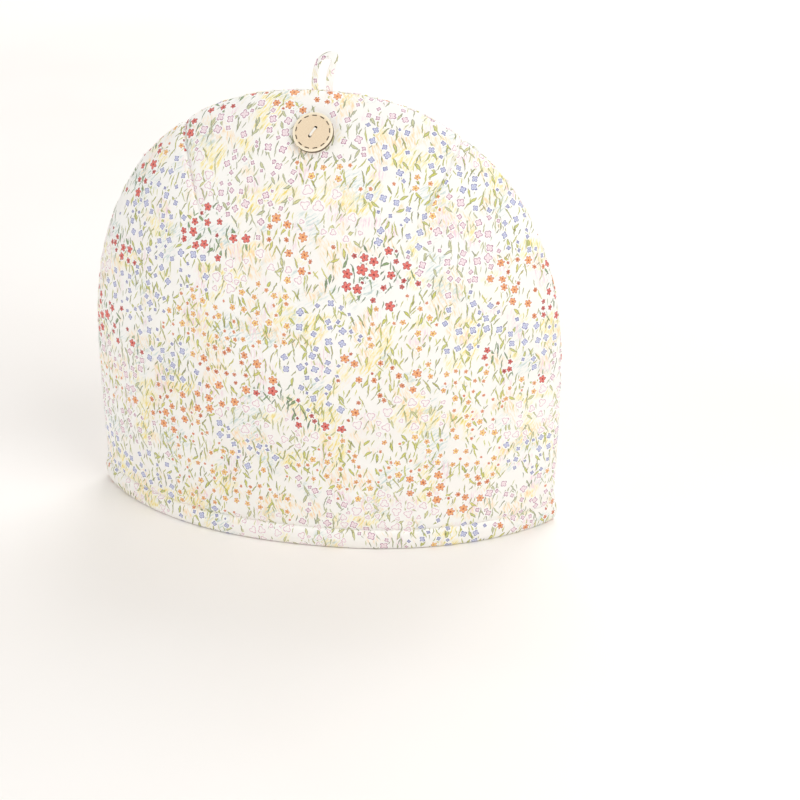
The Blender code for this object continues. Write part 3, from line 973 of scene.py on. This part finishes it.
loopForm = {
    "height": 0.0205,
    "turnRadius": 0.0043,
    "footHalfSpacing": 0.0042,
    "width": 0.0040,
    "thickness": 0.0015,
    "lean": 0.0052,
    "tilts": (math.radians(64), math.radians(52)),  # of its flat side to the front, left and right leg
    "sunk": 0.0025,  # how far its ends go down into the seam
    "bend": 2.6,  # how much of the lean is near its top
    "stitchLine": dict(place=0.60, halfWidth=0.16, depth=0.34),  # shares of its width and thickness
    "roundness": (0.45, 0.75),  # 1 is an oval tape, less is squarer: across and through it
    "tiltWaver": dict(size=0.10, pitch=9.0, start=0.6),
    "widthWaver": dict(size=0.05, pitch=17.0, start=0.0),
    "printPlace": (655, 402),
    "squarePlace": (0.02, 0.02),
    "squareSize": (0.30, 0.96),
    "steps": 90,
    "across": 28,
}


def loopLine(count):
    # the loop's middle line and its outward direction, up one leg, round the turn and down the other
    form, radius = loopForm, loopForm["turnRadius"]
    leg = form["height"] - form["thickness"] / 2 - radius
    length = 2 * leg + math.pi * radius
    distance = np.linspace(-form["sunk"], length + form["sunk"], count)
    walked = np.minimum(distance, length - distance)
    side = np.where(distance < length / 2, -1.0, 1.0)
    up, angle = np.minimum(walked, leg), np.maximum(0.0, walked - leg) / radius
    spread = form["footHalfSpacing"] + (radius - form["footHalfSpacing"]) * up / leg
    x = side * (spread + radius * (np.cos(angle) - 1))
    z = up + radius * np.sin(angle)
    return x, z, side * np.cos(angle), np.sin(angle), length


def rounded(values, power):
    return np.sign(values) * np.abs(values) ** power


def waver(along, form):
    return form["size"] * np.sin(along * form["pitch"] + form["start"])


def faceOut(mesh):
    bm = bmesh.new()
    bm.from_mesh(mesh)
    bmesh.ops.recalc_face_normals(bm, faces=bm.faces)
    if bm.calc_volume(signed=True) < 0:
        bmesh.ops.reverse_faces(bm, faces=bm.faces)
    bm.to_mesh(mesh)
    bm.free()


def mapTape(mesh, walked, length):
    # the tape's two maps: round it, and along it
    form, across = loopForm, loopForm["across"]
    row, step = np.divmod(cornerPoints(mesh), across)
    # the last face of each ring ends where its first one begins
    faces = step[: 4 * form["steps"] * across].reshape(-1, 4)
    faces[(faces == 0) & (faces == across - 1).any(axis=1, keepdims=True)] = across
    turn, up = walked[step], row / form["steps"]
    square = np.stack([turn / walked[-1], up], axis=1)
    setMap(mesh, "print", np.stack([turn, up * length], axis=1) * 1000 + form["printPlace"])
    setMap(mesh, "OFBake", square * form["squareSize"] + form["squarePlace"])


def makeLoop(material):
    # a tape of the print, folded in and stitched along its edge, its flat side turned to the front
    form, stitching = loopForm, loopForm["stitchLine"]
    count, across = form["steps"] + 1, form["across"]
    x, z, outX, outZ, length = loopLine(count)
    along = np.linspace(0, 1, count)
    left, right = form["tilts"]
    tilt = left + (right - left) * along + waver(along, form["tiltWaver"])
    angles = np.linspace(0, 2 * math.pi, across, endpoint=False)
    flat = rounded(np.cos(angles), form["roundness"][0])
    rise = rounded(np.sin(angles), form["roundness"][1]) * form["thickness"] / 2
    rise = rise * (1 - stitching["depth"] * bell(flat - stitching["place"], stitching["halfWidth"]))
    width = form["width"] / 2 * (1 + waver(along, form["widthWaver"]))
    # the width runs inwards and to the front, the thickness outwards and to the front
    share = width[:, None] * flat
    turnIn, turnFront = np.sin(tilt)[:, None], np.cos(tilt)[:, None]
    out = rise * turnFront - share * turnIn
    front = share * turnFront + rise * turnIn
    points = np.stack([x[:, None] + outX[:, None] * out, -front, z[:, None] + outZ[:, None] * out], axis=2)
    points = points.reshape(-1, 3)
    low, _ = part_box("hanging_loop")
    points[:, 0] += form["lean"] * (np.maximum(0.0, points[:, 2]) / form["height"]) ** form["bend"]
    points[:, 2] += low.z
    index = np.arange(count * across).reshape(count, across)
    after = np.roll(index, -1, axis=1)
    faces = quads(index[:-1], after[:-1], after[1:], index[1:]) + index[[0, -1]].tolist()
    obj = meshObject("loopTape", points, faces, material)
    faceOut(obj.data)
    ring = np.stack([flat * form["width"] / 2, rise])
    mapTape(obj.data, walkedAlong(*np.hstack([ring, ring[:, :1]])), length)
    return obj


def buttonFrame():
    # the button's middle and its outward direction, from its solid
    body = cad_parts["button"].data
    places = np.array([vertex.co for vertex in body.vertices])
    middle = (places.max(axis=0) + places.min(axis=0)) / 2
    _, _, axes = np.linalg.svd(places - places.mean(axis=0), full_matrices=False)
    outward = Vector(axes[2])
    if outward.y > 0:
        outward = -outward
    off = (places - middle) @ np.array(outward)
    radius = np.linalg.norm((places - middle) - off[:, None] * np.array(outward), axis=1).max()
    return Vector(middle), outward, float(radius), float(off.max() - off.min())


def added(makePrimitive, **settings):
    bpy.ops.object.select_all(action="DESELECT")
    makePrimitive(**settings)
    return bpy.context.object


def cutBurnt(button, cutter):
    # takes the cutter out of the button, and leaves the cut burnt
    for material in button.data.materials:
        cutter.data.materials.append(material)
    for polygon in cutter.data.polygons:
        polygon.material_index = 1
    select(button)
    cut = button.modifiers.new("cut", "BOOLEAN")
    cut.operation = "DIFFERENCE"
    cut.object = cutter
    bpy.ops.object.modifier_apply(modifier=cut.name)
    bpy.data.objects.remove(cutter)


def holeWay():
    # the direction from one thread hole to the other, on the button's face
    return Vector((math.cos(buttonLook["holeAngle"]), math.sin(buttonLook["holeAngle"]), 0))


def mapGrain(mesh, radius):
    # millimetres on the flat faces, and unrolled round the edge
    grain = mesh.uv_layers.new(name="grain")
    for polygon in mesh.polygons:
        flat = abs(polygon.normal.z) > 0.5
        for corner in polygon.loop_indices:
            x, y, z = mesh.vertices[mesh.loops[corner].vertex_index].co * 1000
            grain.data[corner].uv = (x, y) if flat else (math.atan2(y, x) * radius * 1000, z)


def makeButton(faceMaterial, burntMaterial):
    look = buttonLook
    middle, outward, radius, thickness = buttonFrame()
    cylinder = bpy.ops.mesh.primitive_cylinder_add
    button = added(cylinder, vertices=look["segments"], radius=radius, depth=thickness, end_fill_type="NGON")
    button.name = button.data.name = "buttonDisc"
    button.data.materials.append(faceMaterial)
    button.data.materials.append(burntMaterial)
    for polygon in button.data.polygons:
        polygon.material_index = 1 if abs(polygon.normal.z) < 0.5 else 0
    bevel = button.modifiers.new("rounding", "BEVEL")
    bevel.width = look["rounding"]
    bevel.segments = 3
    bevel.material = 0
    bpy.ops.object.modifier_apply(modifier=bevel.name)
    for side in (-0.5, 0.5):
        size = dict(vertices=look["holeSegments"], radius=look["holeRadius"], depth=thickness * 2)
        cutBurnt(button, added(cylinder, location=holeWay() * look["holeSpacing"] * side, **size))
    for index in range(look["dashes"]):
        angle = 2 * math.pi * (index + look["dashTurn"]) / look["dashes"]
        place = (look["dashRadius"] * math.cos(angle), look["dashRadius"] * math.sin(angle), thickness / 2)
        dash = added(bpy.ops.mesh.primitive_cube_add, size=1, location=place, rotation=(0, 0, angle))
        dash.scale = (look["dashWidth"], look["dashLength"], look["dashDepth"] * 2)
        bpy.ops.object.transform_apply(location=True, rotation=True, scale=True)
        cutBurnt(button, dash)
    mapGrain(button.data, radius)
    place = Matrix.Translation(middle) @ outward.to_track_quat("Z", "Y").to_matrix().to_4x4()
    button.data.transform(place)
    button.location = (0, 0, 0)
    select(button)
    bpy.ops.object.shade_smooth_by_angle(angle=math.radians(35))
    return button, place, thickness


threadLook = {
    "radius": 0.00030,
    "straight": 0.6,  # how far up its hole it starts to bend, from the button's middle
    "rim": 0.0004,  # how far from the hole's middle it has come over the face
    "crown": 0.4,  # the part between the holes that is highest, and how much higher
    "arch": 0.0001,
    "turns": [  # how far each lies beside the middle, and how high it stands over the button
        dict(beside=-0.00042, lift=0.0004),
        dict(beside=0.00040, lift=0.00035),
        dict(beside=0.0, lift=0.00075),
    ],
}


def makeThread(place, thickness, material):
    # turns of cotton between the button's holes
    look, top, half = threadLook, thickness / 2, buttonLook["holeSpacing"] / 2
    curve = bpy.data.curves.new("buttonThread", "CURVE")
    curve.dimensions = "3D"
    curve.bevel_depth = look["radius"]
    curve.bevel_resolution = 3
    curve.use_fill_caps = True
    across = holeWay()
    beside = Vector((-across.y, across.x, 0))
    for turn in look["turns"]:
        high = top + turn["lift"]
        rows = [(-half, -top), (-half, top * look["straight"]), (-half + look["rim"], high)]
        rows += [(-half * look["crown"], high + look["arch"])]
        rows += [(-along, height) for along, height in rows[::-1]]
        line = curve.splines.new("NURBS")
        line.points.add(len(rows) - 1)
        for point, (along, height) in zip(line.points, rows):
            where = place @ (across * along + beside * turn["beside"] + Vector((0, 0, height)))
            point.co = (*where, 1)
        line.use_endpoint_u = True
        line.order_u = 4
    select(placed("buttonThread", curve))
    bpy.ops.object.convert(target="MESH")
    thread = bpy.context.object
    thread.data.materials.clear()
    thread.data.materials.append(material)
    thread.data.shade_smooth()
    return thread


stitchDetail = {
    "height": 0.0123,
    "pitch": 0.0030,
    "length": 0.0022,
    "radius": 0.00016,
    "rings": 6,
    "sides": 6,
    "start": 0.0018,
    "end": 0.0010,  # how much of the line is left over, at least
    "arch": 2.2,  # in radii: how far a stitch rises in its middle, and how deep its ends go in
    "sunk": 0.9,
}


def atPlaces(where, along, line):
    return np.stack([np.interp(where, along, axis) for axis in line.T], axis=1)


def makeHemStitches(panel, outer, normals, material):
    # a running stitch of cotton that sinks into the groove over the hem
    detail, rings, sides = stitchDetail, stitchDetail["rings"], stitchDetail["sides"]
    row = int(np.argmin(np.abs(outer[:, 0, 2] - detail["height"])))
    along = walkedAlong(*outer[row].T)
    shares = np.linspace(0, 1, rings)
    lift = detail["radius"] * (detail["arch"] * np.sin(math.pi * shares) - detail["sunk"])
    angles = np.linspace(0, 2 * math.pi, sides, endpoint=False)[:, None]
    points, faces = [], []
    for start in np.arange(detail["start"], along[-1] - detail["end"] - detail["length"], detail["pitch"]):
        index = len(points) * rings * sides + np.arange(rings * sides).reshape(rings, sides)
        after = np.roll(index, -1, axis=1)
        where = start + detail["length"] * shares
        away = atPlaces(where, along, normals[row])
        away = away / np.linalg.norm(away, axis=1, keepdims=True)
        middle = atPlaces(where, along, outer[row]) + away * lift[:, None]
        ring = away[:, None] * np.cos(angles) + np.array([0.0, 0.0, 1.0]) * np.sin(angles)
        points.append(middle[:, None] + detail["radius"] * ring)
        faces += quads(index[:-1], index[1:], after[1:], after[:-1])
        faces += [index[0].tolist(), index[-1, ::-1].tolist()]
    if panel == "back":
        faces = [face[::-1] for face in faces]
    points = np.concatenate(points).reshape(-1, 3)
    return meshObject(panel + "HemStitches", points, faces, material)


looks = (printedCotton, liningCotton, cottonThread, buttonWood, burntWood)
printed, lining, thread, wood, burnt = [finish(look) for look in looks]
print("finishes made")

for panel, printOffset in (("front", (0, 0)), ("back", (410, 37))):
    cover, outer, normals = makePanel(panel, printOffset, printed)
    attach(cover, "root")
    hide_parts(panel + "_panel")
    inside = makeLining(panel, lining)
    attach(inside, "root")
    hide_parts(panel + "_lining")
    stitches = makeHemStitches(panel, outer, normals, thread)
    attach(stitches, "root")
print("panels and linings made")

loop = makeLoop(printed)
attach(loop, "root")
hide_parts("hanging_loop")

button, buttonPlace, buttonThickness = makeButton(wood, burnt)
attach(button, "root")
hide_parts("button")
cotton = makeThread(buttonPlace, buttonThickness, thread)
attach(cotton, "root")
print("loop, button and thread made")

studio = {
    "azimuth": math.radians(12),  # the camera stands to the right of the front
    "elevation": math.radians(25),
    "distance": 1.45,
    "metresPerPixel": 0.00058,
    "pictureSize": 800,
    "cosyMiddleInPicture": (325, 283),
    "floorRadius": 16,
    "paper": [(253, 250, 247), (250, 246, 242)],
    "glowFrom": (900.0, 2600.0),  # where it begins and is full, in millimetres from the cosy
    "glow": (0.50, 0.50, 0.49, 1.0),
    "roomLight": {"Color": (1.0, 0.997, 0.99, 1.0), "Strength": 0.53},
}

lamps = [
    dict(name="keyLight", place=(1.1, -0.8, 1.4), aim=0.12, size=1.2, watts=14.6, colour=(1.0, 0.99, 0.97)),
    dict(name="fillLight", place=(-1.7, -1.2, 0.9), aim=0.12, size=1.4, watts=8.5, colour=(1.0, 0.99, 0.97)),
    dict(name="backLight", place=(0.2, 1.6, 1.6), aim=0.1, size=1.6, watts=21, colour=(1.0, 1.0, 1.0)),
]


def paperFloor(tree):
    place = objectPlace(tree)
    paper = tones(solidNoise(place, 0.004), 0.3, 0.7, studio["paper"])
    # far from the cosy, where the lamps don't reach, the paper glows up to the white of the room
    glow = mix(between(lengthOf(place), *studio["glowFrom"]), (0.0, 0.0, 0.0, 1.0), studio["glow"])
    surface = {"Base Color": paper, "Roughness": 0.8, "Specular IOR Level": 0.2}
    return {**surface, "Emission Color": glow, "Emission Strength": 1.0}


def backdrop():
    circle = bpy.ops.mesh.primitive_circle_add
    floor = added(circle, vertices=96, radius=studio["floorRadius"], fill_type="NGON")
    floor.name = "paperFloor"
    floor.data.materials.append(finish(paperFloor))


def placeCamera():
    azimuth, elevation = studio["azimuth"], studio["elevation"]
    level = Vector((math.sin(azimuth), -math.cos(azimuth), 0)) * math.cos(elevation)
    back = level + Vector((0, 0, math.sin(elevation)))
    right = Vector((math.cos(azimuth), math.sin(azimuth), 0))
    up = back.cross(right)
    half = studio["pictureSize"] / 2
    pixelX, pixelY = studio["cosyMiddleInPicture"]
    middle = (Vector(cadBox[0]) + Vector(cadBox[1])) / 2
    aim = middle + (right * (half - pixelX) - up * (half - pixelY)) * studio["metresPerPixel"]
    lens = bpy.data.cameras.new("studioCamera")
    lens.sensor_width = 36
    lens.lens = 36 * studio["distance"] / (studio["metresPerPixel"] * studio["pictureSize"])
    camera = placed("studioCamera", lens)
    camera.location = aim + back * studio["distance"]
    camera.rotation_euler = back.to_track_quat("Z", "Y").to_euler()
    bpy.context.scene.camera = camera


def softLight(name, place, aim, size, watts, colour):
    # a square lamp that points at a height on the cosy's own upright line
    lamp = bpy.data.lights.new(name, "AREA")
    lamp.shape = "SQUARE"
    lamp.size = size
    lamp.energy = watts
    lamp.color = colour
    obj = placed(name, lamp)
    obj.location = place
    obj.rotation_euler = (Vector(place) - Vector((0, 0, aim))).to_track_quat("Z", "Y").to_euler()


def room():
    # the light of a white room, which the camera sees as plain white
    world = bpy.data.worlds.new("studioWorld")
    world.use_nodes = True
    tree = world.node_tree
    light = tree.nodes["Background"]
    wear(light, studio["roomLight"])
    white = node(tree, "ShaderNodeBackground", None, {"Color": (1.0, 1.0, 1.0, 1.0), "Strength": 1.0})
    seen = Wire(node(tree, "ShaderNodeLightPath").outputs["Is Camera Ray"])
    mixed = {0: seen, 1: Wire(light.outputs[0]), 2: Wire(white.outputs[0])}
    both = node(tree, "ShaderNodeMixShader", None, mixed)
    tree.links.new(both.outputs[0], tree.nodes["World Output"].inputs["Surface"])
    bpy.context.scene.world = world


backdrop()
placeCamera()
for lamp in lamps:
    softLight(**lamp)
room()
bpy.context.scene.view_settings.view_transform = "Standard"
print("studio made")
